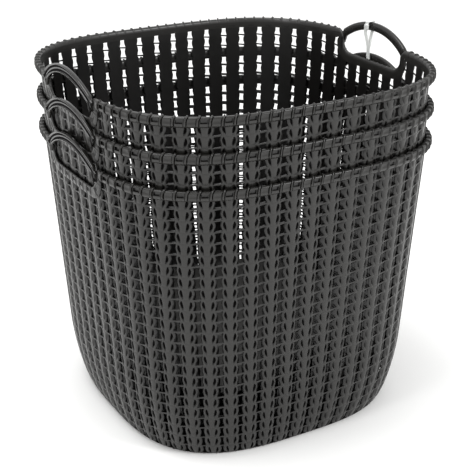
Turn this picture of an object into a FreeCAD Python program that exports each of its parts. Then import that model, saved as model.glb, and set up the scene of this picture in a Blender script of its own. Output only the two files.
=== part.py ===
import FreeCAD, Part
import math
import os

# A stack of three nested laundry baskets, moulded in plastic with a knitted look.
# Millimetres. +Z is up, X runs from handle to handle and Y from front to back.
# The origin is the centre of the lowest basket's underside, on the floor.
# Each basket is a wall and a base, a rim that dips under each hand hole, and an
# arched handle over each dip. A clear tie hangs on one handle of the top basket.

# Overall sizes of one basket
RIM_LENGTH = 385.0         # outside the rim, handle side to handle side
RIM_WIDTH = 382.0          # outside the rim, front to back
RIM_TOP = 315.3            # floor to the top of the rim
BASKET_NAMES = ("bottom", "middle", "top")

# Plan outline: a rounded square, |x/a|^n + |y/b|^n = 1
PLAN_POWER_RIM = 3.25
PLAN_POWER_BASE = 3.04
PLAN_POINTS = 64

# Wall and base
WALL = 1.7                 # thickness, measured level
DRAFT = 0.060              # how far the wall leans out per unit of height
CURVE_HEIGHT = 80.0        # the lower wall curves in below this height
CURVE_IN = 14.5            # how far the curve brings the bottom edge in
CURVE_POWER = 1.7          # roundness of that curve
CURVE_SECTIONS = (0.0, 0.02, 0.05, 0.1, 0.18, 0.3, 0.47, 0.7)   # shares of its height
BASE_THICKNESS = 2.6

# Rim
RIM_HEIGHT = 11.0          # height of the band
RIM_PROUD = 3.9            # how far it stands out from the wall
DIP_PROUD = 1.4            # the same, where it dips under a hand hole

# Hand hole, in the side walls at both ends of X
HOLE_LENGTH = 113.0
HOLE_DEPTH = 25.0          # rim top down to the dipped rim
HOLE_CORNER = 14.0         # radius of the lower corners
HOLE_SPRING = 9.5          # the arch's underside starts this far below the rim top
LEG_LENGTH = 10.0          # width of the rim band beside and below the hole

# Handle arch
ARCH_FOOT = 3.5            # how far the arch runs past the hand hole at each end
ARCH_RISE = 18.3           # rim top up to the top of the arch
ARCH_THICKNESS = 9.3       # band height at the crown
FOOT_LENGTH = 6.5          # how much of the rim each foot covers

# Nesting
NEST_GAP = 0.48            # level gap between one basket's wall and the next
ARCH_GAP = 0.38            # arch to the dipped rim of the basket above
STACK_GAP = 2.0            # least height left between an arch and the rim above it

# Clear tie on a handle of the top basket
TIE_ANGLE = 5.0            # degrees round the arch from its crown, towards +Y
TIE_WIDTH = 5.5
TIE_THICKNESS = 0.6
TIE_GAP = 0.3              # tie to arch, and tie to dipped rim
TIE_SLOT = 0.4             # gap between its two plies where they hang together
TIE_JOIN = 20.0            # the plies come together this far below the arch
LOCK_SIZE = (2.4, 6.4, 7.0)
LOCK_BOTTOM = 1.0          # above the arch's lower edge

# Worked out from the sizes above
ARCH_SPAN = HOLE_LENGTH + 2 * ARCH_FOOT
ARCH_INSET = WALL + NEST_GAP - DIP_PROUD - ARCH_GAP
NEST_STEP = max((WALL + NEST_GAP) / DRAFT, RIM_HEIGHT + ARCH_RISE + STACK_GAP)
ARCH_CROWN = ARCH_RISE - ARCH_THICKNESS
BEYOND = 60.0              # how far cutting tools run past what they cut


def wall_half_length(z):
    """Half the outside length of the wall at height z."""
    curve = 0.0
    if z < CURVE_HEIGHT:
        share = 1 - z / CURVE_HEIGHT
        curve = CURVE_IN * (1 - (1 - share**CURVE_POWER) ** (1 / CURVE_POWER))
    return RIM_LENGTH / 2 - RIM_PROUD - DRAFT * (RIM_TOP - z) - curve


def plan_wire(offset, z):
    """The rounded square at height z, offset outwards from the outside of the wall."""
    a = wall_half_length(z) + offset
    b = a + (RIM_WIDTH - RIM_LENGTH) / 2
    share = min(z / RIM_TOP, 1.0)
    power = PLAN_POWER_BASE + (PLAN_POWER_RIM - PLAN_POWER_BASE) * share
    points = []
    for i in range(PLAN_POINTS):
        angle = 2 * math.pi * i / PLAN_POINTS
        c = math.cos(angle)
        s = math.sin(angle)
        radius = (abs(c / a) ** power + abs(s / b) ** power) ** (-1 / power)
        points.append(FreeCAD.Vector(radius * c, radius * s, z))
    curve = Part.BSplineCurve()
    curve.interpolate(Points=points, PeriodicFlag=True)
    return Part.Wire([curve.toShape()])


def block(offset, low, high):
    """The basket's outer form between two heights, as a full solid."""
    bends = [share * CURVE_HEIGHT for share in CURVE_SECTIONS] + [CURVE_HEIGHT, RIM_TOP]
    levels = [low] + [z for z in bends if low < z < high] + [high]
    return Part.makeLoft([plan_wire(offset, z) for z in levels], True, True)


def shell(inner, outer, low, high):
    """A ring that follows the wall, between two offsets and two heights."""
    return block(outer, low, high).cut(block(inner, low, high))


def prism(edges, start, length):
    """A solid along X from a closed outline drawn in the YZ plane."""
    face = Part.Face(Part.Wire(Part.__sortEdges__(edges)))
    face.translate(FreeCAD.Vector(start, 0, 0))
    return face.extrude(FreeCAD.Vector(length, 0, 0))


def yz(y, z):
    """A point of a side outline, with z counted from the rim top."""
    return FreeCAD.Vector(0, y, RIM_TOP + z)


def polyline(points):
    """Straight edges through the points."""
    return [Part.LineSegment(p, q).toShape() for p, q in zip(points, points[1:])]


def dip_edges(half, depth, corner, top):
    """A U outline: sides from height top, rounded lower corners, level bottom."""
    k = corner * (1 - math.sqrt(0.5))
    left = polyline([yz(-half, top), yz(-half, corner - depth)])
    right = polyline([yz(half, corner - depth), yz(half, top)])
    floor = polyline([yz(corner - half, -depth), yz(half - corner, -depth)])
    left_bend = Part.Arc(yz(-half, corner - depth), yz(k - half, k - depth), yz(corner - half, -depth))
    right_bend = Part.Arc(yz(half - corner, -depth), yz(half - k, k - depth), yz(half, corner - depth))
    return left + [left_bend.toShape()] + floor + [right_bend.toShape()] + right


def side_tool(edges):
    """A cutting solid through the wall on the +X side only."""
    return prism(edges, RIM_LENGTH / 4, RIM_LENGTH / 4 + BEYOND)


def hole_tool():
    """The hand hole: a U below, the arch's underside above."""
    half = HOLE_LENGTH / 2
    arc = Part.Arc(yz(half, -HOLE_SPRING), yz(0, ARCH_CROWN), yz(-half, -HOLE_SPRING)).toShape()
    return side_tool(dip_edges(half, HOLE_DEPTH, HOLE_CORNER, -HOLE_SPRING) + [arc])


def dip_tool(grow, top):
    """The U of the hand hole, grown outwards by grow and run up to height top."""
    half = HOLE_LENGTH / 2 + grow
    lid = polyline([yz(half, top), yz(-half, top)])
    return side_tool(dip_edges(half, HOLE_DEPTH + grow, HOLE_CORNER + grow, top) + lid)


def arch_tool():
    """Everything under the outer arc of the arch, down past its feet."""
    half = ARCH_SPAN / 2
    arc = Part.Arc(yz(-half, 0), yz(0, ARCH_RISE), yz(half, 0)).toShape()
    corners = [yz(half, 0), yz(half, -HOLE_DEPTH), yz(-half, -HOLE_DEPTH), yz(-half, 0)]
    return side_tool([arc] + polyline(corners))


def feet_tool():
    """Two boxes beside the hand hole, where the feet cover the rim."""
    boxes = []
    for side in (-1, 1):
        y1 = side * HOLE_LENGTH / 2
        y2 = y1 + side * FOOT_LENGTH
        corners = [yz(y1, 0), yz(y2, 0), yz(y2, -RIM_HEIGHT), yz(y1, -RIM_HEIGHT), yz(y1, 0)]
        boxes.append(side_tool(polyline(corners)))
    return boxes[0].fuse(boxes[1])


def both_sides(tool):
    """A +X side tool together with its copy on the -X side."""
    return tool.fuse(tool.mirror(FreeCAD.Vector(0, 0, 0), FreeCAD.Vector(1, 0, 0)))


def make_base():
    """The flat bottom of the basket."""
    return block(0, 0, BASE_THICKNESS)


def make_wall():
    """The knitted wall, from the base up to the rim, cut away under the dips."""
    ring = shell(-WALL, 0, BASE_THICKNESS, RIM_TOP - RIM_HEIGHT)
    return ring.cut(both_sides(dip_tool(LEG_LENGTH, BEYOND)))


def make_rim():
    """The rim band all the way round, with the dips under the hand holes."""
    band = shell(-WALL, RIM_PROUD, RIM_TOP - RIM_HEIGHT, RIM_TOP)
    band = band.cut(both_sides(dip_tool(LEG_LENGTH, BEYOND)))
    low = RIM_TOP - HOLE_DEPTH - LEG_LENGTH
    dips = shell(-WALL, DIP_PROUD, low, RIM_TOP)
    dips = dips.common(both_sides(dip_tool(LEG_LENGTH, 0)))
    dips = dips.cut(both_sides(dip_tool(0, BEYOND)))
    return band.fuse(dips)


def make_handle():
    """The arched handle at +X, with a foot on the outside of the rim at each end."""
    arch = shell(-ARCH_INSET, RIM_PROUD, RIM_TOP - HOLE_DEPTH, RIM_TOP + ARCH_RISE)
    dipped_rim = dip_tool(LEG_LENGTH, 0).cut(dip_tool(0, 0))
    arch = arch.common(arch_tool()).cut(hole_tool()).cut(dipped_rim)
    feet = shell(DIP_PROUD, RIM_PROUD, RIM_TOP - RIM_HEIGHT, RIM_TOP)
    feet = feet.common(feet_tool())
    return arch.fuse(feet).removeSplitter()


def make_tie():
    """The clear tie: a flat loop round the arch that hangs down to the dipped rim."""
    radius = ((ARCH_SPAN / 2) ** 2 + ARCH_RISE**2) / (2 * ARCH_RISE)
    centre = FreeCAD.Vector(0, 0, RIM_TOP + ARCH_RISE - radius)
    turn = math.radians(TIE_ANGLE)
    inside = wall_half_length(RIM_TOP - HOLE_DEPTH) - ARCH_INSET - TIE_GAP
    outside = wall_half_length(RIM_TOP + ARCH_RISE) + RIM_PROUD + TIE_GAP
    above = RIM_TOP + ARCH_RISE + TIE_GAP
    below = RIM_TOP + ARCH_CROWN - TIE_GAP
    lowest = RIM_TOP - HOLE_DEPTH + TIE_GAP + TIE_THICKNESS + TIE_WIDTH / 2 * math.sin(turn)
    end = centre.z + (lowest - centre.z) / math.cos(turn)
    outline = [
        (inside, above),
        (outside, above),
        (outside, below),
        (inside + TIE_SLOT, below - TIE_JOIN),
        (inside + TIE_SLOT, end),
        (inside, end),
        (inside, above),
    ]
    slot = Part.Wire(polyline([FreeCAD.Vector(x, -TIE_WIDTH / 2, z) for x, z in outline]))
    loop = Part.Face(slot.makeOffset2D(TIE_THICKNESS, 0)).cut(Part.Face(slot))
    depth, width, height = LOCK_SIZE
    corner = FreeCAD.Vector(inside - TIE_THICKNESS - depth, -width / 2, below + LOCK_BOTTOM)
    pieces = [loop.extrude(FreeCAD.Vector(0, TIE_WIDTH, 0)), Part.makeBox(depth, width, height, corner)]
    for piece in pieces:
        piece.rotate(centre, FreeCAD.Vector(1, 0, 0), -TIE_ANGLE)
    return pieces


def export(name, shape, lift):
    """Write one node, raised to its basket's place in the stack."""
    placed = shape.copy()
    placed.translate(FreeCAD.Vector(0, 0, lift))
    placed.exportStep("parts/" + name + ".step")
    print(name, len(placed.Solids), "solid", round(placed.Volume), "mm3, valid:", placed.isValid())


os.makedirs("parts", exist_ok=True)

handle = make_handle()
zones = {
    "wall": make_wall(),
    "base": make_base(),
    "rim": make_rim(),
    "handle_right": handle,
    "handle_left": handle.mirror(FreeCAD.Vector(0, 0, 0), FreeCAD.Vector(1, 0, 0)),
}
for level, basket in enumerate(BASKET_NAMES):
    for zone, shape in zones.items():
        export(basket + "_" + zone, shape, level * NEST_STEP)

strap, lock = make_tie()
top_lift = (len(BASKET_NAMES) - 1) * NEST_STEP
export("tie_strap", strap, top_lift)
export("tie_lock", lock, top_lift)
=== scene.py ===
import math

import bpy
import numpy as np
from bpy.props import FloatProperty, FloatVectorProperty, IntProperty, PointerProperty, StringProperty
from mathutils import Matrix, Vector


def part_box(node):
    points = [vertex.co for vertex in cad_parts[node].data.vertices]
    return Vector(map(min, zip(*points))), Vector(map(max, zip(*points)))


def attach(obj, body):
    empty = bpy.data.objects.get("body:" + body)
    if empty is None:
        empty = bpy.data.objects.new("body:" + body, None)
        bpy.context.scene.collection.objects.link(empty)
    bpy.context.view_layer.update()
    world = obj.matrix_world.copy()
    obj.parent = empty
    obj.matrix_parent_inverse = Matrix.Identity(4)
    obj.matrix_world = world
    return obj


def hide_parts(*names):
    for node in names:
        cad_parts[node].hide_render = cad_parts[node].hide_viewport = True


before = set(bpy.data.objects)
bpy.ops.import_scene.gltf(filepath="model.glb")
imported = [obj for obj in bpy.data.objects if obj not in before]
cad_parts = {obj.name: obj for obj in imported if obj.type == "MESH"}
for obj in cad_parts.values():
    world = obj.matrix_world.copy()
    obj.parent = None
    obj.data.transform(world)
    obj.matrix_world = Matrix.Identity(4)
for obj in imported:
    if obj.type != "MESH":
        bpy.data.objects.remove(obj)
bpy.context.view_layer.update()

bl_info = {
    "name": "Knitted-look laundry baskets",
    "version": (1, 0, 0),
    "blender": (4, 5, 0),
    "location": "3D View > Sidebar > Baskets",
    "description": "Builds a stack of nesting laundry baskets around its CAD frame",
    "category": "Add Mesh",
}

MM = 0.001
# Faces with more painted shade than this share take their mesh's second material, the painted shade
# material
DEEP = 0.8

# Taken from the frame: one basket's levels, the step from one basket to the next, and the tie
BASKETS = ("bottom", "middle", "top")
BASE_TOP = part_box("bottom_base")[1].z
RIM_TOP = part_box("bottom_rim")[1].z
RIM_HALF_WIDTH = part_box("bottom_rim")[1].y
NEST_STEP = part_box("middle_base")[0].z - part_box("bottom_base")[0].z
ARCH_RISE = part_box("bottom_handle_right")[1].z - RIM_TOP
TIE_LOW, TIE_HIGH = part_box("tie_strap")
LOCK_LOW, LOCK_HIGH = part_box("tie_lock")


# ---------------------------------------------------------------- settings


def length_setting(name, description, mm):
    """A length, shown in the scene's units, with its default given in millimetres."""
    return FloatProperty(name=name, description=description, default=mm * MM, unit="LENGTH", precision=5)


def plain_setting(name, description, value):
    """A number without a unit."""
    return FloatProperty(name=name, description=description, default=value, precision=4)


def angle_setting(name, description, degrees):
    """An angle, with its default given in degrees."""
    angle = math.radians(degrees)
    return FloatProperty(name=name, description=description, default=angle, subtype="ANGLE", precision=4)


def colour_setting(name, description, code):
    """A colour, kept as an sRGB hex code."""
    return StringProperty(name=name, description=description, default=code)


class BasketShapeSettings(bpy.types.PropertyGroup):
    """The form that every zone of a basket follows."""

    extra_length: length_setting("Extra length", "How much longer than wide each half of the rim is", 1.5)
    rim_proud: length_setting("Rim proud", "How far the rim stands out from the wall", 3.9)
    wall: length_setting("Wall", "Thickness of the wall", 1.7)
    draft: plain_setting("Draft", "How far the wall leans out per unit of height", 0.060)
    curve_height: length_setting("Curve height", "The lower wall curves in below this height", 80.0)
    curve_in: length_setting("Curve in", "How far the curve brings the bottom edge in", 14.5)
    curve_power: plain_setting("Curve power", "Roundness of the lower curve", 1.7)
    plan_power_rim: plain_setting("Plan power at the rim", "Squareness of the plan at the rim", 3.25)
    plan_power_base: plain_setting("Plan power at the base", "Squareness of the plan at the base", 3.04)


class KnitSettings(bpy.types.PropertyGroup):
    """The knitted pattern of the wall: columns of open stitches between smooth bands."""

    columns: IntProperty(name="Columns", description="Columns of holes round the basket", default=56)
    first_bar: length_setting("First bar", "Rim top down to the first cross bar", 20.0)
    row_pitch: length_setting("Row pitch", "Height of the first full row", 12.11)
    row_growth: length_setting("Row growth", "How much taller each row is than the one above", 0.063)
    bar_lean: length_setting("Bar lean", "How much higher a bar's right end sits", 0.9)
    hole_draft: length_setting("Hole draft", "How much nearer the centre a hole's inner edge is", 1.0)
    low_narrowing: plain_setting("Low narrowing", "Share by which holes close up by the base", 0.4)
    groove_depth: length_setting("Groove depth", "Depth of the blind groove between strand and band", 1.45)
    seam_depth: length_setting("Seam depth", "Depth of the faint seam across the bands", 0.25)


class RimSettings(bpy.types.PropertyGroup):
    """The whipstitched rim."""

    dip_proud: length_setting("Dip proud", "How far the rim stands out where it dips", 1.4)
    hole_half: length_setting("Hole half", "Half the hand hole's length", 56.5)
    hole_depth: length_setting("Hole depth", "Rim top down to the dipped rim", 25.0)
    hole_corner: length_setting("Hole corner", "Radius of the hand hole's lower corners", 14.0)
    stitch_rise: length_setting("Stitch rise", "Height of a stitch over the rim's face", 1.5)
    stitch_lean: length_setting("Stitch lean", "How far a stitch's top leans along the rim", 1.8)
    pocket_depth: length_setting("Pocket depth", "Depth of the recess between two stitches", 1.8)
    dip_stitches: IntProperty(name="Dip stitches", description="Stitches in half a dip", default=9)


class HandleSettings(bpy.types.PropertyGroup):
    """The arched handle."""

    half_span: length_setting("Half span", "Half the outer span at the rim top", 60.0)
    crown: length_setting("Crown", "Height of the arch's lower edge over the rim top", 9.0)
    spring: length_setting("Spring", "Rim top down to the ends of the arch's lower edge", 9.5)
    inset: length_setting("Inset", "Inner face, inwards from the wall's outside", 0.4)
    bead: length_setting("Bead", "Width of the raised bead along each edge", 1.2)
    channel: length_setting("Channel", "Depth of the channel between the beads", 1.7)


class TieSettings(bpy.types.PropertyGroup):
    """The clear tie on one handle of the top basket."""

    width: length_setting("Width", "Width of the strap", 5.5)
    thickness: length_setting("Thickness", "Thickness of the strap", 0.6)
    spread: length_setting("Spread", "How far the inner ply swings aside over the arch", 3.0)


class FinishSettings(bpy.types.PropertyGroup):
    """Colours and textures of the plastics."""

    basket_colour: colour_setting("Basket", "Charcoal pigment of the moulded plastic", "#1A1917")
    # Painted shade: the near-black colour that grooves, pockets, channels and the wall's inside are
    # darkened towards
    painted_shade_colour: colour_setting("Recess", "The same plastic deep in a groove", "#050404")
    tie_colour: colour_setting("Tie", "Tint of the clear tie", "#F2F4F2")
    grain: length_setting("Grain", "Size of the fine spark-eroded grain", 0.45)
    basket_roughness: plain_setting("Roughness", "Roughness of the satin moulding", 0.31)


class StageSettings(bpy.types.PropertyGroup):
    """Camera, lights and floor."""

    azimuth: angle_setting("Azimuth", "Camera's place round the stack from the front", -29.59)
    elevation: angle_setting("Elevation", "Camera's height above the horizon", 22.89)
    roll: angle_setting("Roll", "Camera's turn about its own line of sight", -0.18)
    distance: length_setting("Distance", "Camera to the point it looks at", 1346.0)
    lens: plain_setting("Lens", "Focal length in millimetres on a 36 mm sensor", 87.9)
    target: FloatVectorProperty(
        name="Target",
        description="Point the camera looks at",
        default=(0.01117, 0.00644, 0.17467),
        unit="LENGTH",
    )
    floor_colour: colour_setting("Floor", "Pale floor", "#F7F7F6")
    world_strength: plain_setting("World", "Strength of the even white surroundings", 1.0)


# ---------------------------------------------------------------- form


class BasketForm:
    """Places points on the wall's outside from a share of the way round and a height."""

    SAMPLES = 2880

    def __init__(self, shape):
        self.shape = shape
        self.shares = np.linspace(0, 1, self.SAMPLES + 1)
        self.base_outline = self.outline(shape.plan_power_base)
        self.rim_outline = self.outline(shape.plan_power_rim)
        ring = self.place(self.shares, np.full(self.SAMPLES + 1, RIM_TOP), 0.0)
        self.rim_length = np.linalg.norm(np.diff(ring, axis=0), axis=1).sum()

    def outline(self, power):
        """The rounded square of half length 1, sampled evenly along its edge."""
        angle = np.linspace(0, 2 * np.pi, self.SAMPLES + 1)
        c, s = np.cos(angle), np.sin(angle)
        radius = (np.abs(c) ** power + np.abs(s) ** power) ** (-1 / power)
        x, y = radius * c, radius * s
        along = np.concatenate([[0], np.cumsum(np.hypot(np.diff(x), np.diff(y)))])
        along /= along[-1]
        return np.interp(self.shares, along, x), np.interp(self.shares, along, y)

    def half_length(self, z):
        """Half the outside length of the wall at height z."""
        shape = self.shape
        share = np.clip(1 - z / shape.curve_height, 0, 1)
        bend = 1 - (1 - share**shape.curve_power) ** (1 / shape.curve_power)
        at_rim = RIM_HALF_WIDTH + shape.extra_length - shape.rim_proud
        return at_rim - shape.draft * (RIM_TOP - z) - shape.curve_in * bend

    def place(self, share, z, offset):
        """Points at a share of the way round from +X, a height, and an offset outwards."""
        share, z, offset = np.broadcast_arrays(np.asarray(share, float) % 1.0, z, offset)
        lean = np.clip(z / RIM_TOP, 0, 1)
        x0, y0 = (np.interp(share, self.shares, part) for part in self.base_outline)
        x1, y1 = (np.interp(share, self.shares, part) for part in self.rim_outline)
        a = self.half_length(z) + offset
        b = a - self.shape.extra_length
        return np.stack([a * (x0 + lean * (x1 - x0)), b * (y0 + lean * (y1 - y0)), z], axis=-1)


def form():
    """The basket form for the scene's settings."""
    return BasketForm(bpy.context.scene.basket_shape)


# ---------------------------------------------------------------- meshes


def make_mesh(name, points, faces, materials, recess=None, sharp=50.0):
    """A mesh from points and faces. With two materials, faces with much painted shade take the second."""
    points = np.asarray(points, float).reshape(-1, 3)
    sizes = np.array([len(face) for face in faces])
    corners = np.concatenate([np.asarray(face) for face in faces])
    used, corners = np.unique(corners, return_inverse=True)
    mesh = bpy.data.meshes.new(name)
    mesh.vertices.add(len(used))
    mesh.vertices.foreach_set("co", points[used].astype(np.float32).ravel())
    mesh.loops.add(len(corners))
    mesh.loops.foreach_set("vertex_index", corners.astype(np.int32).ravel())
    mesh.polygons.add(len(sizes))
    starts = np.cumsum(sizes) - sizes
    mesh.polygons.foreach_set("loop_start", starts.astype(np.int32))
    mesh.update(calc_edges=True)
    # The recess attribute holds each point's painted shade
    depth = np.zeros(len(used)) if recess is None else np.asarray(recess, float).ravel()[used]
    layer = mesh.attributes.new("recess", "FLOAT", "POINT")
    layer.data.foreach_set("value", depth.astype(np.float32))
    mesh.polygons.foreach_set("use_smooth", np.ones(len(sizes), bool))
    for material in materials:
        mesh.materials.append(material)
    if len(materials) > 1:
        mean = np.add.reduceat(depth[corners], starts) / sizes
        mesh.polygons.foreach_set("material_index", (mean > DEEP).astype(np.int32))
    mesh.set_sharp_from_angle(angle=math.radians(sharp))
    return mesh


def add_object(name, mesh, lift=0.0):
    """An object for the mesh, raised to its basket's place in the stack."""
    piece = bpy.data.objects.new(name, mesh)
    bpy.context.scene.collection.objects.link(piece)
    piece.location.z = lift
    return piece


def finish_piece(piece, basket, slot, *nodes):
    """Fastens a piece to its basket and hides the CAD nodes it stands for. The slot argument is not used.
    """
    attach(piece, "basket_" + basket)
    if nodes:
        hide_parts(*nodes)


def loft_faces(rings, count, closed=True):
    """Quads between rings of count points each; closed joins the last ring to the first."""
    faces = []
    total = rings if closed else rings - 1
    for r in range(total):
        here, there = r * count, ((r + 1) % rings) * count
        for i in range(count):
            j = (i + 1) % count
            faces.append((here + i, here + j, there + j, there + i))
    return faces


# ---------------------------------------------------------------- knitted wall

# Lines that run down one half of a column, from the hole outwards: how far each lies from the
# hole's centre, in millimetres on a column 23 mm wide, at the row shares below. Every strand
# bows in below a cross bar and swings back out to the band above the next one.
COLUMN_WIDTH = 23.0
ROW_SHARES = (0.0, 0.065, 0.16, 0.30, 0.46, 0.62, 0.78, 0.935)
HOLE_EDGE = (4.6, 4.4, 3.9, 3.4, 3.3, 3.6, 4.2, 4.7)
STRAND_INSIDE = (5.6, 5.0, 4.4, 3.9, 3.8, 4.2, 5.0, 5.8)
STRAND_CREST = (6.9, 5.7, 5.0, 4.5, 4.4, 4.9, 5.8, 7.0)
STRAND_SIDE = (7.6, 6.5, 5.8, 5.2, 5.2, 5.7, 6.7, 7.7)
GROOVE_INSIDE = (7.9, 6.8, 6.1, 5.5, 5.5, 6.1, 7.1, 8.0)
GROOVE_OUTSIDE = (8.2, 7.2, 6.9, 7.0, 7.4, 7.8, 8.1, 8.3)
BAND_EDGE = (8.5, 7.7, 7.4, 7.6, 8.1, 8.4, 8.6, 8.6)
BAND_SHOULDER = (9.1, 8.6, 8.4, 8.7, 9.1, 9.3, 9.3, 9.2)
HALF_LINES = (
    HOLE_EDGE,
    STRAND_INSIDE,
    STRAND_CREST,
    STRAND_SIDE,
    GROOVE_INSIDE,
    GROOVE_OUTSIDE,
    BAND_EDGE,
    BAND_SHOULDER,
)
# How far each line has sunk to its full depth, at the same row shares
STRAND_SINK = (0.0, 0.5, 0.8, 1.0, 1.0, 1.0, 0.8, 0.3)
GROOVE_SINK = (0.05, 0.1, 0.45, 1.0, 1.0, 1.0, 0.9, 0.25)
# Depths in millimetres below the wall's outside: at a cross bar, and how much more between bars
HOLE_EDGE_DEPTH = (0.25, 0.45)
STRAND_INSIDE_DEPTH = (0.1, 0.15)
STRAND_SIDE_DEPTH = (0.05, 0.45)
BAND_EDGE_DEPTH = (0.1, 0.25)
# The same for the line down the middle of the holes: on a cross bar, and beside it
BAR_DEPTH = 0.05
BESIDE_BAR_DEPTH = 0.55
# A cell's lines, numbered across the column: the hole's two edges with its middle between them,
# and the few that the plain inside needs
CELL_LINES = 2 * len(HALF_LINES) + 2
HOLE_LINES = (8, 9, 10)
HOLE_SIDES = [HOLE_LINES[0], HOLE_LINES[2]]
INNER_LINES = (0, 5, 8, 9, 10, 13)
# A cross bar's lean, in shares of a column from the hole's middle: it is full from the first on,
# and fades to nothing at the second, over the third
LEAN_FULL = 0.19
LEAN_END = 0.48
LEAN_FADE = 0.25
# Millimetres above the base: bars lower than the first stay level, and no row of holes starts
# below the second
LEVEL_BELOW = 2.0
LAST_START = 6.0
# How much thinner, in millimetres, the wall is in the middle of a column of holes. It has its
# full thickness the second, a share of a column's width, away from there.
THINNER = 0.4
THIN_REACH = 0.3
# Painted shade in the grooves: down to the first depth a point keeps the surface's colour, and over
# the second, both in millimetres, it is darkened all the way to the painted shade colour
SURFACE_DEPTH = 0.1
SHADE_RANGE = 0.9
# The wall's inside takes this much painted shade, so it looks darker than the outside
INSIDE_SHADE = 0.75
# Each panel's first column, counted from the middle of the right side
PANELS = {"right": -7, "back": 7, "left": 21, "front": 35}
PANEL_COLUMNS = 14
# The rim's dip takes away the cells up to this many columns from the handle's middle, in this
# many rows, the first of which is inside the rim
DIP_COLUMNS = 2
DIP_ROWS = 2


def row_depth(knit, row):
    """Rim top down to a row line; whole numbers are cross bars, and -1 is inside the rim."""
    below = np.maximum(row, 0)
    whole = np.floor(below)
    part = below - whole
    grown = knit.row_growth * (whole * (whole - 1) / 2 + part * whole)
    return knit.first_bar + knit.row_pitch * row + grown


def cell_lines(knit, step):
    """Places across a column and depths, for every line of a cell, at one of its row shares."""
    groove = knit.groove_depth / MM * GROOVE_SINK[step]
    seam = 0.0 if step else knit.seam_depth / MM

    def sunk(depth):
        return depth[0] + depth[1] * STRAND_SINK[step]

    depths = (
        sunk(HOLE_EDGE_DEPTH),
        sunk(STRAND_INSIDE_DEPTH),
        0.0,
        sunk(STRAND_SIDE_DEPTH),
        groove,
        groove,
        sunk(BAND_EDGE_DEPTH) + seam / 2,
        seam,
    )
    half = [(line[step], depth) for line, depth in zip(HALF_LINES, depths)]
    left = [(-x, depth) for x, depth in [(COLUMN_WIDTH / 2, seam)] + half[::-1]]
    return left + [(0.0, BESIDE_BAR_DEPTH if step else BAR_DEPTH)] + half


def knit_grid(basket_form, knit, first_column, rows):
    """Outer and inner points of a panel, and the outer points' painted shade, as [row line, column line].
    """
    outer, inner, recess = [], [], []
    width = 1 / knit.columns
    for row in range(-1, rows):
        shares = ROW_SHARES if row < rows - 1 else ROW_SHARES + (1.0,)
        for step, t in enumerate(shares):
            cell = cell_lines(knit, step % len(ROW_SHARES))
            x = np.array([c[0] for c in cell]) / COLUMN_WIDTH
            z = np.maximum(RIM_TOP - row_depth(knit, row + t), BASE_TOP)
            low = max(0.0, 1 - z / basket_form.shape.curve_height)
            x[HOLE_SIDES] *= 1 - knit.low_narrowing * low
            depth = np.array([c[1] for c in cell])
            narrow = np.zeros(CELL_LINES)
            narrow[HOLE_SIDES] = -np.sign(x[HOLE_SIDES])
            narrow *= knit.hole_draft / MM / COLUMN_WIDTH
            across = np.append((np.arange(PANEL_COLUMNS)[:, None] + x).ravel(), PANEL_COLUMNS - 0.5)
            share = (first_column + across) * width
            inner_share = share + np.append(np.tile(narrow, PANEL_COLUMNS), 0.0) * width
            depths = np.append(np.tile(depth, PANEL_COLUMNS), depth[0])
            lean = np.clip(x / LEAN_FULL, -1, 1) * np.clip((LEAN_END - np.abs(x)) / LEAN_FADE, 0, 1)
            lean = np.append(np.tile(lean, PANEL_COLUMNS), 0.0)
            heights = z + lean * knit.bar_lean / 2 * (z > BASE_TOP + LEVEL_BELOW * MM)
            thin = np.clip(1 - np.abs(x) / THIN_REACH, 0, 1)
            thin = np.append(np.tile(thin, PANEL_COLUMNS), 0.0) * THINNER * MM
            outer.append(basket_form.place(share, heights, -depths * MM))
            inner.append(basket_form.place(inner_share, heights, thin - basket_form.shape.wall))
            # Painted shade: the deeper a point, the darker
            recess.append(np.clip((depths - SURFACE_DEPTH) / SHADE_RANGE, 0, 1))
    return np.array(outer), np.array(inner), np.array(recess)


def knit_rows(knit):
    """How many rows of holes fit between the rim and the base."""
    rows = 1
    while RIM_TOP - row_depth(knit, rows) > BASE_TOP + LAST_START * MM:
        rows += 1
    return rows


def kept_cells(first_column, rows, columns):
    """True for each cell of a panel, [row, column], that no dip of the rim takes away."""
    keep = np.ones((rows + 1, PANEL_COLUMNS), bool)
    for k in range(PANEL_COLUMNS):
        column = (first_column + k) % (columns // 2)
        from_handle = min(column, columns // 2 - column)
        if from_handle <= DIP_COLUMNS:
            keep[:DIP_ROWS, k] = False
    return keep


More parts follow.
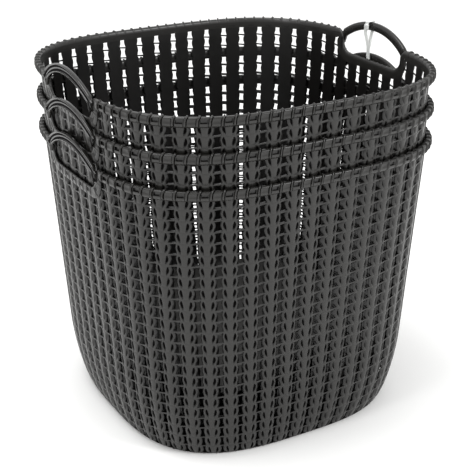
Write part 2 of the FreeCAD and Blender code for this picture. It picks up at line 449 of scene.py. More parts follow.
def knit_panel(basket_form, knit, first_column):
    """One quarter of the wall as a closed mesh: outside, inside and the edges of its holes."""
    rows = knit_rows(knit)
    outer, inner, recess = knit_grid(basket_form, knit, first_column, rows)
    keep = kept_cells(first_column, rows, knit.columns)
    row_lines, column_lines = outer.shape[:2]
    steps = len(ROW_SHARES)
    index = np.arange(row_lines * column_lines).reshape(row_lines, column_lines)
    inner_index = index + row_lines * column_lines
    inner_columns = [k * CELL_LINES + i for k in range(PANEL_COLUMNS) for i in INNER_LINES]
    inner_columns.append(column_lines - 1)

    def is_solid(r, c):
        cell_row, step = divmod(r, steps)
        column, line = divmod(c, CELL_LINES)
        if not keep[cell_row, column]:
            return False
        in_hole = line in HOLE_LINES[:2] and 1 <= step < steps - 1
        return not in_hole

    faces = []
    for r in range(row_lines - 1):
        for c in range(column_lines - 1):
            if is_solid(r, c):
                faces.append((index[r, c], index[r + 1, c], index[r + 1, c + 1], index[r, c + 1]))
    edges = {}
    for r in range(row_lines - 1):
        for c1, c2 in zip(inner_columns, inner_columns[1:]):
            if is_solid(r, c1):
                corners = [(r, c1), (r, c2), (r + 1, c2), (r + 1, c1)]
                faces.append(tuple(inner_index[corner] for corner in corners))
                for start, end in zip(corners, corners[1:] + corners[:1]):
                    if (end, start) in edges:
                        del edges[(end, start)]
                    else:
                        edges[(start, end)] = True
    for start, end in edges:
        (r1, c1), (r2, c2) = start, end
        if r1 == r2:
            step = 1 if c2 > c1 else -1
            path = [(r1, c) for c in range(c1, c2 + step, step)]
        else:
            path = [start, end]
        closing = [inner_index[end], inner_index[start]] + [index[node] for node in path]
        faces.append(tuple(closing))
    points = np.concatenate([outer.reshape(-1, 3), inner.reshape(-1, 3)])
    # Each point's painted shade: the grooves' on the outside, and INSIDE_SHADE all over the inside
    depths = np.concatenate([recess.ravel(), np.full(recess.size, INSIDE_SHADE)])
    return points, faces, depths


class BASKET_OT_wall(bpy.types.Operator):
    """Builds the knitted wall of every basket, in four panels that meet at the corners"""

    bl_idname = "basket.wall"
    bl_label = "Knitted walls"

    def execute(self, context):
        basket_form = form()
        materials = (moulded_polypropylene(), painted_shade_polypropylene())
        for side, first_column in PANELS.items():
            points, faces, depths = knit_panel(basket_form, context.scene.basket_knit, first_column)
            mesh = make_mesh("knit_" + side, points, faces, materials, depths)
            for level, basket in enumerate(BASKETS):
                piece = add_object(basket + "_knit_" + side, mesh, level * NEST_STEP)
                finish_piece(piece, basket, "basket_plastic", basket + "_wall")
        return {"FINISHED"}


# ---------------------------------------------------------------- base

# Rings from the top's middle, over the edge, to the underside's middle:
# (inwards from the wall's outside, height) in millimetres
BASE_RINGS = (
    (150.0, 2.6), (100.0, 2.6), (50.0, 2.6), (12.0, 2.6), (2.0, 2.6), (0.0, 2.6),
    (0.0, 1.4), (0.2, 0.7), (0.8, 0.2), (1.8, 0.0), (11.0, 0.0), (11.8, 0.2), (12.2, 0.8),
    (46.0, 0.8), (46.6, 0.2), (49.4, 0.2), (50.0, 0.8), (90.0, 0.8), (90.6, 0.2), (93.4, 0.2),
    (94.0, 0.8), (150.0, 0.8),
)
BASE_SIDES = 224


class BASKET_OT_base(bpy.types.Operator):
    """Builds the flat base of every basket, with a foot ring and two stiffening ribs below"""

    bl_idname = "basket.base"
    bl_label = "Bases"

    def execute(self, context):
        basket_form = form()
        share = np.arange(BASE_SIDES) / BASE_SIDES
        rings = [
            basket_form.place(share, np.full(BASE_SIDES, z * MM), -inwards * MM)
            for inwards, z in BASE_RINGS
        ]
        faces = loft_faces(len(rings), BASE_SIDES, closed=False)
        last = (len(rings) - 1) * BASE_SIDES
        faces = [face[::-1] for face in faces]
        faces.append(tuple(range(BASE_SIDES)))
        faces.append(tuple(range(last, last + BASE_SIDES))[::-1])
        mesh = make_mesh("base", np.array(rings), faces, [grained_polypropylene()], sharp=40.0)
        for level, basket in enumerate(BASKETS):
            piece = add_object(basket + "_base_plate", mesh, level * NEST_STEP)
            finish_piece(piece, basket, "basket_plastic", basket + "_base")
        return {"FINISHED"}


# ---------------------------------------------------------------- rim

# The rim's section, up the inside, over the top and down the outside: (offset outwards from
# the wall, depth below the rim's top edge, share of a stitch's rise it takes, share of the
# pocket's depth it takes), the first two in millimetres for the full rim
RIM_SECTION = (
    (-1.7, 10.9, 0.0, 0.0),
    (-1.7, 5.0, 0.0, 0.0),
    (-1.6, 1.6, 0.1, 0.0),
    (-1.0, 0.5, 0.7, 0.0),
    (0.3, 0.0, 1.0, 0.0),
    (2.3, 0.0, 1.0, 0.0),
    (3.3, 0.5, 1.0, 0.0),
    (3.7, 1.4, 1.0, 0.0),
    (3.7, 2.1, 1.0, 0.05),
    (3.7, 2.6, 1.0, 1.0),
    (3.7, 5.6, 1.0, 1.0),
    (3.8, 6.2, 1.0, 0.05),
    (3.7, 7.8, 0.8, 0.0),
    (2.9, 9.6, 0.5, 0.0),
    (1.2, 10.9, 0.0, 0.0),
)
# Stations between one stitch and the next: (place, rise of the stitch, depth of the pocket)
STITCH_STATIONS = (
    (0.0, 1.0, 0.0),
    (0.06, 0.85, 0.0),
    (0.10, 0.1, 0.0),
    (0.125, -1.0, 0.0),
    (0.15, -1.0, 0.0),
    (0.18, 0.0, 0.0),
    (0.21, 0.0, 0.1),
    (0.24, 0.0, 1.0),
    (0.5, 0.0, 1.0),
    (0.78, 0.0, 1.0),
    (0.81, 0.0, 0.1),
    (0.85, 0.0, 0.0),
    (0.87, -0.5, 0.0),
    (0.89, -0.5, 0.0),
    (0.91, 0.1, 0.0),
    (0.945, 0.85, 0.0),
)
# A stitch rises upwards at the rim's top, and turns outwards over this many millimetres below it
TURN_OUT = 3.0
# A trench beside a stitch sinks downwards by only this share of that, and otherwise inwards
TRENCH_DOWN = 0.5
# A stitch leans over this many millimetres below the rim's top
LEAN_REACH = 5.0
# Every other pocket has only this share of the depth
SHALLOW_POCKET = 0.1
# Shares of the painted shade colour: a full pocket's painted shade, and the painted shadow on the
# rim's outside where the rim is tucked in, which starts this many millimetres below its top
POCKET_SHADE = 0.75
TUCKED_SHADE = 0.75
TUCKED_FROM = 1.0


class RimPath:
    """The rim's top edge in the flat: along the wall, and up; it dips under each hand hole."""

    # The rim starts to stand out this share of the shoulder's radius before the shoulder ends
    PROUD_LEAD = 0.6
    # How much wider the band is round the hole's corner, and how much narrower on the shoulder
    CORNER_WIDER = 0.1
    SHOULDER_NARROWER = 0.4
    # How much of the stitching shows everywhere, and how much more in the dip
    LEAST_RELIEF = 0.1
    DIP_RELIEF = 0.35

    def __init__(self, rim):
        self.flat = rim.hole_half - rim.hole_corner
        self.depth = rim.hole_depth
        self.corner = rim.hole_corner
        self.shoulder = rim.hole_depth - rim.hole_corner
        self.dip_end = rim.hole_half + self.shoulder
        self.arc_1 = self.flat + self.corner * math.pi / 2
        self.arc_2 = self.arc_1 + self.shoulder * math.pi / 2

    def point(self, along):
        """Place (along the wall, height from the rim top) and downward direction at a length."""
        side = -1.0 if along < 0 else 1.0
        along = abs(along)
        if along <= self.flat:
            y, z, turn = along, -self.depth, 0.0
        elif along <= self.arc_1:
            turn = (along - self.flat) / self.corner
            y = self.flat + self.corner * math.sin(turn)
            z = -self.depth + self.corner * (1 - math.cos(turn))
        elif along <= self.arc_2:
            turn = math.pi / 2 - (along - self.arc_1) / self.shoulder
            y = self.dip_end - self.shoulder * math.sin(turn)
            z = -self.shoulder + self.shoulder * math.cos(turn)
        else:
            y, z, turn = self.dip_end + along - self.arc_2, 0.0, 0.0
        return side * y, z, side * math.sin(turn), -math.cos(turn)

    def proud(self, along):
        """0 where the rim is dipped or behind a handle's foot, 1 where it stands full."""
        share = (abs(along) - self.arc_2) / self.shoulder + self.PROUD_LEAD
        share = min(max(share, 0.0), 1.0)
        return share * share * (3 - 2 * share)

    def width(self, along):
        """The band's width as a share of its full width: wider round the hole's corner, so
        that it reaches the knit, and narrower down the shoulder behind the handle's foot."""
        corner = (abs(along) - (self.flat + self.arc_1) / 2) / self.corner
        shoulder = (abs(along) - (self.arc_1 + self.arc_2) / 2) / self.shoulder
        wider = self.CORNER_WIDER * max(0.0, 1 - corner**2) ** 2
        return 1 + wider - self.SHOULDER_NARROWER * max(0.0, 1 - shoulder**2) ** 2

    def relief(self, along):
        """How much of the stitching shows: all on the rim, some in the dip, little between."""
        in_dip = min(max((self.arc_1 - abs(along)) / self.corner, 0.0), 1.0)
        more = (1 - self.LEAST_RELIEF) * self.proud(along)
        return self.LEAST_RELIEF + more + self.DIP_RELIEF * in_dip


def stitch_places(path, rim, columns, length):
    """Lengths along half of the rim, from a dip's middle to the next side's middle."""
    pitch = length / columns / 2
    first = math.ceil(path.dip_end / pitch) + 0.5
    full = np.arange(first, columns / 2) * pitch
    full = full - path.dip_end + path.arc_2
    dip_pitch = full[0] / (rim.dip_stitches + 0.5)
    dip = (np.arange(rim.dip_stitches) + 0.5) * dip_pitch
    return np.concatenate([dip, full])


class BASKET_OT_rim(bpy.types.Operator):
    """Builds the whipstitched rim of every basket, dipping under both hand holes"""

    bl_idname = "basket.rim"
    bl_label = "Stitched rims"

    def execute(self, context):
        basket_form = form()
        rim = context.scene.basket_rim
        columns = context.scene.basket_knit.columns
        path = RimPath(rim)
        length = basket_form.rim_length
        half = stitch_places(path, rim, columns, length)
        stitches = np.concatenate([-half[::-1], half])
        turn_length = length / 2 + 2 * (path.arc_2 - path.dip_end)
        # depths gathers the painted shade of every point
        rings, depths = [], []
        for side in (0.0, 0.5):
            for number, start in enumerate(stitches):
                last = number == len(stitches) - 1
                end = turn_length + stitches[0] if last else stitches[number + 1]
                deep = SHALLOW_POCKET if number % 2 else 1.0
                for place, rise, pocket in STITCH_STATIONS:
                    along = start + (end - start) * place
                    ring, depth = self.section(
                        basket_form, path, rim, along, side, rise, pocket * deep
                    )
                    rings.append(ring)
                    depths.append(depth)
        faces = loft_faces(len(rings), len(RIM_SECTION))
        materials = (moulded_polypropylene(), painted_shade_polypropylene())
        mesh = make_mesh("rim", np.array(rings), faces, materials, np.array(depths))
        for level, basket in enumerate(BASKETS):
            piece = add_object(basket + "_stitched_rim", mesh, level * NEST_STEP)
            finish_piece(piece, basket, "basket_plastic", basket + "_rim")
        return {"FINISHED"}

    @staticmethod
    def section(basket_form, path, rim, along, side, rise, pocket):
        """The rim's section at a length along its path, and each point's painted shade."""
        shape = basket_form.shape
        proud, relief, width = path.proud(along), path.relief(along), path.width(along)
        scale = (rim.dip_proud + (shape.rim_proud - rim.dip_proud) * proud) / shape.rim_proud
        share, z, offset, recess = [], [], [], []
        for out, down, stitched, pocketed in RIM_SECTION:
            lift = rise * stitched * rim.stitch_rise
            sunk = pocket * pocketed * rim.pocket_depth
            top = max(0.0, 1 - down / TURN_OUT) * (1.0 if rise > 0 else TRENCH_DOWN)
            lean = rim.stitch_lean * max(0.0, 1 - down / LEAN_REACH) ** 2
            y, height, down_y, down_z = path.point(along + lean)
            depth = down * MM * width - lift * top * relief
            grow = lift * (1 - top) if out > 0 else 0.0
            level = out * MM * scale if out > 0 else out * MM
            share.append(side + (y + down_y * depth) / basket_form.rim_length)
            z.append(RIM_TOP + height + down_z * depth)
            offset.append(level + (grow - sunk) * relief)
            # Painted shade in pockets and trenches, and a painted shadow on the tucked-in outside
            trench = max(0.0, -rise) * stitched
            painted_pocket_shade = min(1.0, POCKET_SHADE * sunk / rim.pocket_depth + trench)
            tucked = TUCKED_SHADE if out > 0 and down > TUCKED_FROM else 0.0
            recess.append(painted_pocket_shade * relief + tucked * (1 - min(relief, 1.0)))
        return basket_form.place(np.array(share), np.array(z), np.array(offset)), recess


# ---------------------------------------------------------------- handles

ARCH_STEPS = 64
FOOT_STEPS = 8
# Each half of a handle ends in its foot, from this share of its length on. Up to there the
# lower and the upper edge follow these shares of their arcs.
FOOT_FROM = 0.86
LOWER_ARC = 0.94
UPPER_ARC = 0.98
# In millimetres: half the span of the lower edge's arc, where the lower edge ends (along, up
# from the rim's top), and how far a foot takes the upper edge (along, down)
LOWER_HALF_SPAN = 56.5
FOOT_END = (57.0, -15.5)
FOOT_RUN = (5.0, 4.5)
# In millimetres, at a foot's end: how much further out its face and its back lie. The channel
# loses a share of its depth there.
FOOT_FACE = 0.5
FOOT_BACK = 1.6
FOOT_FILL = 0.6
# Height of the low rib down the middle of the channel, in millimetres
RIB_HEIGHT = 0.25


def arc_point(half, spring, crown, share):
    """A point at share -1..1 of an arc through (+-half, spring) and (0, crown)."""
    rise = crown - spring
    radius = (half**2 + rise**2) / (2 * rise)
    angle = math.asin(half / radius) * share
    return radius * math.sin(angle), crown - radius + radius * math.cos(angle)


def handle_edges(handle, share):
    """Lower and upper edge of the arch, each (along, up), at share -1..1 of its length."""
    side = -1.0 if share < 0 else 1.0
    over = max(0.0, (abs(share) - FOOT_FROM) / (1 - FOOT_FROM))
    on_arch = min(abs(share) / FOOT_FROM, 1.0)
    low_half = LOWER_HALF_SPAN * MM
    low_y, low_z = arc_point(low_half, -handle.spring, handle.crown, on_arch * LOWER_ARC)
    high_y, high_z = arc_point(handle.half_span, 0.0, ARCH_RISE, on_arch * UPPER_ARC)
    low_y += over * (FOOT_END[0] * MM - low_y)
    low_z += over * (FOOT_END[1] * MM - low_z)
    high_y += over * over * FOOT_RUN[0] * MM
    high_z -= over * FOOT_RUN[1] * MM
    return (side * low_y, low_z), (side * high_y, high_z), over


class BASKET_OT_handles(bpy.types.Operator):
    """Builds the arched handles, with a bead along each edge and a shallow channel between"""

    bl_idname = "basket.handles"
    bl_label = "Arched handles"

    def execute(self, context):
        basket_form = form()
        handle = context.scene.basket_handle
        shape = context.scene.basket_shape
        length = basket_form.rim_length
        total = ARCH_STEPS + 2 * FOOT_STEPS
        for name, side in (("right", 0.0), ("left", 0.5)):
            # depths gathers the painted shade of every point
            rings, depths = [], []
            for step in range(total + 1):
                low, high, over = handle_edges(handle, 2 * step / total - 1)
                width = math.dist(low, high)
                across, offset, recess = self.section(handle, shape, width, over)
                y = low[0] + (high[0] - low[0]) * across / width
                z = low[1] + (high[1] - low[1]) * across / width
                rings.append(basket_form.place(side + y / length, RIM_TOP + z, offset))
                depths.append(recess)
            count = len(rings[0])
            faces = [face[::-1] for face in loft_faces(len(rings), count, closed=False)]
            faces.append(tuple(range(count)))
            faces.append(tuple(range(total * count, (total + 1) * count))[::-1])
            materials = (smooth_polypropylene(), painted_shade_polypropylene())
            mesh = make_mesh(
                "handle_" + name, np.array(rings), faces, materials, np.array(depths), sharp=60.0
            )
            for level, basket in enumerate(BASKETS):
                piece = add_object(basket + "_arch_" + name, mesh, level * NEST_STEP)
                finish_piece(piece, basket, "handle_plastic", basket + "_handle_" + name)
        return {"FINISHED"}

    @staticmethod
    def section(handle, shape, width, over):
        """Across the band, offset outwards and painted shade of the section's points."""
        out = shape.rim_proud + over * FOOT_FACE * MM
        floor = out - handle.channel * (1 - FOOT_FILL * over)
        rib = floor + RIB_HEIGHT * MM
        inside = -handle.inset + over * FOOT_BACK * MM
        bead = handle.bead
        # From the bead's rounded edge over its crown, down into the channel and along its floor
        # The third value of each point is its painted shade, most in the channel
        half = [
            (0.3 * MM, out - 0.45 * MM, 0.0),
            (0.9 * MM, out, 0.0),
            (bead, out - 0.05 * MM, 0.0),
            (bead + 0.5 * MM, floor + 0.2 * MM, 0.8),
            (bead + 0.9 * MM, floor, 1.0),
            (width / 2 - 0.7 * MM, floor, 1.0),
        ]
        outer = half + [(width / 2, rib, 0.4)] + [(width - a, o, r) for a, o, r in half[::-1]]
        edge_out, edge_in = out - 1.3 * MM, inside + 0.9 * MM
        back = [(0.35 * MM, inside + 0.3 * MM, 0.0), (1.1 * MM, inside, 0.0)]
        inner = [(width - a, o, r) for a, o, r in back] + [(a, o, r) for a, o, r in back[::-1]]
        loop = outer + [(width, edge_out, 0.0), (width, edge_in, 0.0)] + inner
        loop += [(0.0, edge_in, 0.0), (0.0, edge_out, 0.0)]
        across, offset, recess = (np.array(values) for values in zip(*loop))
        return across, offset, recess


# ---------------------------------------------------------------- tie

# Steps from one point of the strap's route to the next, and the bevel of its edges in millimetres
LOOP_STEPS = 8
STRAP_BEVEL = 0.15
# The lock's rings through its thickness: (place, as a share of the thickness; how much smaller
# all round, in millimetres). Each fills this share of the lock's box on either side.
LOCK_RINGS = ((-0.5, 0.5), (-0.46, 0.2), (-0.3, 0.0), (0.35, 0.0), (0.5, 0.12))
LOCK_SIDES = 32
LOCK_SQUARENESS = 5
LOCK_FILL = 0.46


def smooth_loop(points, steps):
    """A closed Catmull-Rom curve through the points."""
    points = np.array(points, float)
    count = len(points)
    curve = []
    for i in range(count):
        p0, p1, p2, p3 = (points[(i + k - 1) % count] for k in range(4))
        square = 2 * p0 - 5 * p1 + 4 * p2 - p3
        cube = 3 * p1 - p0 - 3 * p2 + p3
        for t in np.arange(steps) / steps:
            curve.append(0.5 * (2 * p1 + (p2 - p0) * t + square * t**2 + cube * t**3))
    return np.array(curve)


class BASKET_OT_tie(bpy.types.Operator):
    """Builds the clear tie that hangs on the top basket's right handle, and its lock"""

    bl_idname = "basket.tie"
    bl_label = "Clear tie"

    def execute(self, context):
        tie = context.scene.basket_tie
        strap = add_object("strap", self.strap_mesh(tie))
        finish_piece(strap, "top", "clear_tie", "tie_strap")
        lock = add_object("strap_lock", self.lock_mesh())
        finish_piece(lock, "top", "clear_tie", "tie_lock")
        return {"FINISHED"}

    @staticmethod
    def strap_mesh(tie):
        """A flat strap on a closed route: over the arch, out and down, and back up inside."""
        low, high = TIE_LOW, TIE_HIGH
        inside, outside = low.x + tie.thickness / 2, high.x - tie.thickness / 2
        top, bottom = high.z - tie.thickness, low.z + tie.thickness
        y_top = high.y - tie.width / 2
        y_end = low.y + tie.width / 2
        joined = inside + 1.0 * MM
        # Over the arch, down the outside to the joined end, and up the inside, swinging aside
        route = [
            (inside, y_top, top - 0.8 * MM),
            (inside + 0.9 * MM, y_top, top + 0.2 * MM),
            (outside - 0.9 * MM, y_top, top + 0.2 * MM),
            (outside, y_top - 0.3 * MM, top - 0.8 * MM),
            (outside, y_top + 0.5 * MM, top - 11.0 * MM),
            (outside - 1.2 * MM, y_top + 0.3 * MM, top - 14.5 * MM),
            (joined + 0.3 * MM, y_top - 2.6 * MM, top - 31.0 * MM),
            (joined, y_end + 0.6 * MM, bottom + 2.2 * MM),
            (joined - 0.4 * MM, y_end, bottom),
            (inside + 0.1 * MM, y_end + 0.4 * MM, bottom + 1.8 * MM),
            (inside, y_end + 0.3 * tie.spread, bottom + 14.0 * MM),
            (inside - 0.2 * MM, y_top + 0.3 * tie.spread, top - 17.0 * MM),
            (inside - 0.2 * MM, y_top + tie.spread, top - 11.5 * MM),
            (inside, y_top + 0.55 * tie.spread, top - 5.5 * MM),
        ]
        centre = smooth_loop(route, LOOP_STEPS)
        along = np.roll(centre, -1, axis=0) - np.roll(centre, 1, axis=0)
        along /= np.linalg.norm(along, axis=1)[:, None]
        across = np.array([0.0, 1.0, 0.0]) - along * along[:, 1:2]
        across /= np.linalg.norm(across, axis=1)[:, None]
        out = np.cross(across, along)
        w, h = tie.width / 2, tie.thickness / 2
        bevel = STRAP_BEVEL * MM
        section = [(w - bevel, h), (w, h - bevel), (w, bevel - h), (w - bevel, -h)]
        section += [(-a, -b) for a, b in section]
        rings = [centre + across * a + out * b for a, b in section]
        points = np.stack(rings, axis=1)
        faces = loft_faces(len(centre), len(section))
        return make_mesh("strap", points, faces, [clear_nylon()], sharp=35.0)

    @staticmethod
    def lock_mesh():
        """A small block with rounded corners, and a wider bevel round its inner face."""
        centre = (LOCK_LOW + LOCK_HIGH) / 2
        size = LOCK_HIGH - LOCK_LOW
        power = LOCK_SQUARENESS
        points = []
        for x, shrink in LOCK_RINGS:
            for i in range(LOCK_SIDES):
                angle = 2 * math.pi * i / LOCK_SIDES
                c, s = math.cos(angle), math.sin(angle)
                radius = (abs(c) ** power + abs(s) ** power) ** (-1 / power)
                y = radius * c * (size.y * LOCK_FILL - shrink * MM)
                z = radius * s * (size.z * LOCK_FILL - shrink * MM)
                points.append((centre.x + x * size.x, centre.y + y, centre.z + z))
        faces = loft_faces(len(LOCK_RINGS), LOCK_SIDES, closed=False)
        faces.append(tuple(range(LOCK_SIDES))[::-1])
        faces.append(tuple(range(len(points) - LOCK_SIDES, len(points))))
        return make_mesh("strap_lock", np.array(points), faces, [clear_nylon()], sharp=40.0)


# ---------------------------------------------------------------- finishes

POLYPROPYLENE_IOR = 1.49
NYLON_IOR = 1.53
# The Mix node's two colours, and its mixed colour, by number because their names repeat
MIX_A = 6
MIX_B = 7
MIXED = 2
# A Wave texture with a Scale of 1 has its bands this far apart, in metres
WAVE_SPACING = 2 * math.pi / 20


def to_linear(code):
    """An sRGB hex colour as linear red, green, blue and alpha."""
    channels = [int(code[i : i + 2], 16) / 255 for i in (1, 3, 5)]
    linear = [c / 12.92 if c <= 0.04045 else ((c + 0.055) / 1.055) ** 2.4 for c in channels]
    return (*linear, 1.0)


def add_node(tree, kind, links=(), **settings):
    """Adds a node, sets its properties or its inputs, and links (output, input) pairs into it."""
    node = tree.nodes.new(kind)
    for key, value in settings.items():
        if key in node.bl_rna.properties:
            setattr(node, key, value)
        else:
            node.inputs[key.replace("_", " ")].default_value = value
    for source, target in links:
        tree.links.new(source, node.inputs[target])
    return node


def new_material(name):
    """A node material, its tree and its Principled shader, or no more than the material where
    it has been made already."""
    material = bpy.data.materials.get(name)
    if material:
        return material, None, None
    material = bpy.data.materials.new(name)
    material.use_nodes = True
    tree = material.node_tree
    tree.nodes.clear()
    shader = tree.nodes.new("ShaderNodeBsdfPrincipled")
    add_node(tree, "ShaderNodeOutputMaterial", [(shader.outputs["BSDF"], "Surface")])
    return material, tree, shader


def polypropylene(name, rougher, grain_strength):
    """Moulded polypropylene: charcoal pigment, a satin skin, a fine grain, and painted shade in recesses.
    """
    material, tree, shader = new_material(name)
    if tree is None:
        return material
    finish = bpy.context.scene.basket_finish
    roughness = finish.basket_roughness + rougher
    place = add_node(tree, "ShaderNodeTexCoord").outputs["Object"]
    # Each point's painted shade, read from the mesh's recess attribute
    recess = add_node(tree, "ShaderNodeAttribute", attribute_name="recess").outputs["Fac"]
    # Slow mottling, about 30 mm across, from uneven flow and handling
    mottle = add_node(
        tree, "ShaderNodeTexNoise", [(place, "Vector")], Scale=1 / (30 * MM), Detail=3.0
    )
    shade = add_node(
        tree, "ShaderNodeMapRange", [(mottle.outputs["Fac"], "Value")], To_Min=0.85, To_Max=1.15
    )
    colour = add_node(tree, "ShaderNodeMix", [(recess, "Factor")], data_type="RGBA")
    colour.inputs[MIX_A].default_value = to_linear(finish.basket_colour)
    colour.inputs[MIX_B].default_value = to_linear(finish.painted_shade_colour)
    tinted = add_node(
        tree, "ShaderNodeVectorMath",
        [(colour.outputs[MIXED], 0), (shade.outputs["Result"], "Scale")], operation="SCALE",
    )
    tree.links.new(tinted.outputs["Vector"], shader.inputs["Base Color"])
    rough = add_node(
        tree, "ShaderNodeMapRange", [(mottle.outputs["Fac"], "Value")],
        To_Min=roughness - 0.05, To_Max=roughness + 0.06,
    )
    tree.links.new(rough.outputs["Result"], shader.inputs["Roughness"])
    grain = add_node(
        tree, "ShaderNodeTexNoise", [(place, "Vector")], Scale=1 / finish.grain, Detail=2.0
    )
    bump = add_node(
        tree, "ShaderNodeBump", [(grain.outputs["Fac"], "Height")],
        Strength=grain_strength, Distance=0.05 * MM,
    )
    tree.links.new(bump.outputs["Normal"], shader.inputs["Normal"])
    shader.inputs["IOR"].default_value = POLYPROPYLENE_IOR
    return material


def grained_polypropylene():
    """The base: the same plastic with a stronger grain, so at a low angle it doesn't mirror the
    bright holes and the eye reads it as dark and flat."""
    return polypropylene("grained_polypropylene", rougher=0.34, grain_strength=0.8)


def moulded_polypropylene():
    """The wall and rim: injection-moulded polypropylene with a fine spark-eroded grain.
    The eye gets a soft, wide highlight on every strand, and painted shade makes the groove beside it near
    black."""
    return polypropylene("moulded_polypropylene", rougher=0.0, grain_strength=0.35)


def painted_shade_polypropylene():
    """Painted shade for the bottoms of the grooves and pockets and the handles' channels: the same
    plastic in the painted shade colour, near black and without a sheen, standing in for their shade."""
    material, tree, shader = new_material("painted_shade_polypropylene")
    if tree is None:
        return material
    finish = bpy.context.scene.basket_finish
    place = add_node(tree, "ShaderNodeTexCoord").outputs["Object"]
    # Tool marks about 0.6 mm apart
    marks = add_node(
        tree, "ShaderNodeTexNoise", [(place, "Vector")], Scale=1 / (0.6 * MM), Detail=2.0
    )
    bump = add_node(
        tree, "ShaderNodeBump", [(marks.outputs["Fac"], "Height")], Strength=0.5, Distance=0.1 * MM
    )
    tree.links.new(bump.outputs["Normal"], shader.inputs["Normal"])
    shader.inputs["Base Color"].default_value = to_linear(finish.painted_shade_colour)
    shader.inputs["Roughness"].default_value = 0.9
    shader.inputs["IOR"].default_value = POLYPROPYLENE_IOR
    shader.inputs["Specular IOR Level"].default_value = 0.1
    return material


def smooth_polypropylene():
    """The handles: the same plastic from a polished part of the mould, so a little glossier."""
    return polypropylene("smooth_polypropylene", rougher=-0.1, grain_strength=0.15)


def clear_nylon():
    """The tie: extruded natural nylon, clear with a faint milky cast, so it reads as a pale band."""
    material, tree, shader = new_material("clear_nylon")
    if tree is None:
        return material
    finish = bpy.context.scene.basket_finish
    place = add_node(tree, "ShaderNodeTexCoord").outputs["Object"]
    # A faint ridge along the strap, from the drawing die: the bands are 5 mm apart, so one fits
    lines = add_node(
        tree, "ShaderNodeTexWave", [(place, "Vector")],
        Scale=WAVE_SPACING / (5.03 * MM), bands_direction="Y",
    )
    bump = add_node(
        tree, "ShaderNodeBump", [(lines.outputs["Fac"], "Height")], Strength=0.2, Distance=0.05 * MM
    )
    tree.links.new(bump.outputs["Normal"], shader.inputs["Normal"])
    shader.inputs["Base Color"].default_value = to_linear(finish.tie_colour)
    shader.inputs["Roughness"].default_value = 0.25
    shader.inputs["IOR"].default_value = NYLON_IOR
    shader.inputs["Transmission Weight"].default_value = 0.35
    return material


# ---------------------------------------------------------------- stage

# Half the floor's width in metres, and the camera's sensor in millimetres
FLOOR_HALF = 6.0
SENSOR_WIDTH = 36.0
# (name, place, power in watts, width), all turned towards the point below, in the stack's middle
SOFTBOXES = (
    ("overhead_softbox", (-0.5, 0.2, 2.2), 27.0, 1.2),
    ("key_softbox", (-1.9, -0.6, 1.5), 8.0, 0.45),
    ("front_softbox", (1.1, -1.9, 1.5), 23.0, 0.5),
)
LIT_POINT = (0, 0, 0.2)


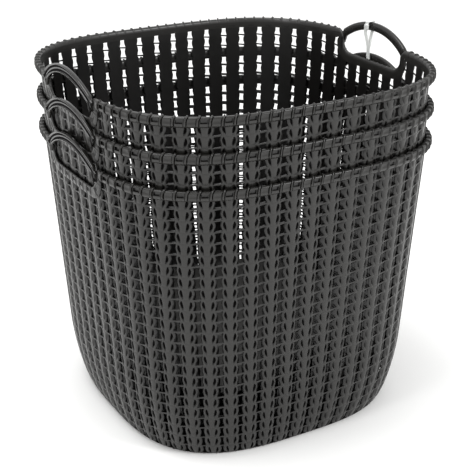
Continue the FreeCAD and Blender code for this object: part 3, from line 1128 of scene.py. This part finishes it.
class BASKET_OT_stage(bpy.types.Operator):
    """Builds the pale floor, the soft studio light and the camera"""

    bl_idname = "basket.stage"
    bl_label = "Stage"

    def execute(self, context):
        stage = context.scene.basket_stage
        self.floor(stage)
        self.lights(stage)
        self.camera(context, stage)
        context.scene.view_settings.view_transform = "Standard"
        return {"FINISHED"}

    @staticmethod
    def floor(stage):
        half = FLOOR_HALF
        corners = [(-half, -half, 0), (half, -half, 0), (half, half, 0), (-half, half, 0)]
        mesh = bpy.data.meshes.new("floor")
        mesh.from_pydata(corners, [], [(0, 1, 2, 3)])
        floor = add_object("floor", mesh)
        material, tree, shader = new_material("matt_studio_paper")
        # Matt white background paper, which isn't quite flat: very faint waves 30 mm across. With
        # nothing on its Vector, the texture's unit is the floor's whole width.
        waves = add_node(tree, "ShaderNodeTexNoise", Scale=2 * half / (30 * MM))
        bump = add_node(tree, "ShaderNodeBump", [(waves.outputs["Fac"], "Height")], Strength=0.02)
        tree.links.new(bump.outputs["Normal"], shader.inputs["Normal"])
        shader.inputs["Base Color"].default_value = to_linear(stage.floor_colour)
        shader.inputs["Roughness"].default_value = 0.9
        mesh.materials.append(material)

    @staticmethod
    def lights(stage):
        world = bpy.data.worlds.new("white_surroundings")
        world.use_nodes = True
        background = world.node_tree.nodes["Background"]
        background.inputs["Color"].default_value = (1.0, 1.0, 1.0, 1.0)
        background.inputs["Strength"].default_value = stage.world_strength
        bpy.context.scene.world = world
        for name, place, power, width in SOFTBOXES:
            light = bpy.data.lights.new(name, "AREA")
            light.energy = power
            light.size = width
            lamp = bpy.data.objects.new(name, light)
            bpy.context.scene.collection.objects.link(lamp)
            lamp.location = place
            aim = Vector(LIT_POINT) - Vector(place)
            lamp.rotation_euler = aim.to_track_quat("-Z", "Y").to_euler()

    @staticmethod
    def camera(context, stage):
        level = math.cos(stage.elevation)
        back = Vector((
            math.sin(stage.azimuth) * level,
            -math.cos(stage.azimuth) * level,
            math.sin(stage.elevation),
        ))
        lens = bpy.data.cameras.new("camera")
        lens.lens = stage.lens
        lens.sensor_width = SENSOR_WIDTH
        camera = bpy.data.objects.new("camera", lens)
        context.scene.collection.objects.link(camera)
        turned = (-back).to_track_quat("-Z", "Y").to_matrix().to_4x4()
        roll = Matrix.Rotation(stage.roll, 4, "Z")
        place = Vector(stage.target) + back * stage.distance
        camera.matrix_world = Matrix.Translation(place) @ turned @ roll
        context.scene.camera = camera


# ---------------------------------------------------------------- panel


class BASKET_PT_panel(bpy.types.Panel):
    """Lists the steps that build the stack"""

    bl_idname = "BASKET_PT_panel"
    bl_label = "Knitted-look baskets"
    bl_space_type = "VIEW_3D"
    bl_region_type = "UI"
    bl_category = "Baskets"

    def draw(self, context):
        for operator in OPERATORS:
            self.layout.operator(operator.bl_idname)


SETTINGS = {
    "basket_shape": BasketShapeSettings,
    "basket_knit": KnitSettings,
    "basket_rim": RimSettings,
    "basket_handle": HandleSettings,
    "basket_tie": TieSettings,
    "basket_finish": FinishSettings,
    "basket_stage": StageSettings,
}
OPERATORS = (
    BASKET_OT_stage,
    BASKET_OT_wall,
    BASKET_OT_base,
    BASKET_OT_rim,
    BASKET_OT_handles,
    BASKET_OT_tie,
)


def register():
    for name, group in SETTINGS.items():
        bpy.utils.register_class(group)
        setattr(bpy.types.Scene, name, PointerProperty(type=group))
    for operator in OPERATORS:
        bpy.utils.register_class(operator)
    bpy.utils.register_class(BASKET_PT_panel)


def unregister():
    bpy.utils.unregister_class(BASKET_PT_panel)
    for operator in reversed(OPERATORS):
        bpy.utils.unregister_class(operator)
    for name, group in SETTINGS.items():
        delattr(bpy.types.Scene, name)
        bpy.utils.unregister_class(group)


def main():
    register()
    bpy.ops.basket.stage()
    bpy.ops.basket.wall()
    bpy.ops.basket.base()
    bpy.ops.basket.rim()
    bpy.ops.basket.handles()
    bpy.ops.basket.tie()


if __name__ == "__main__":
    main()
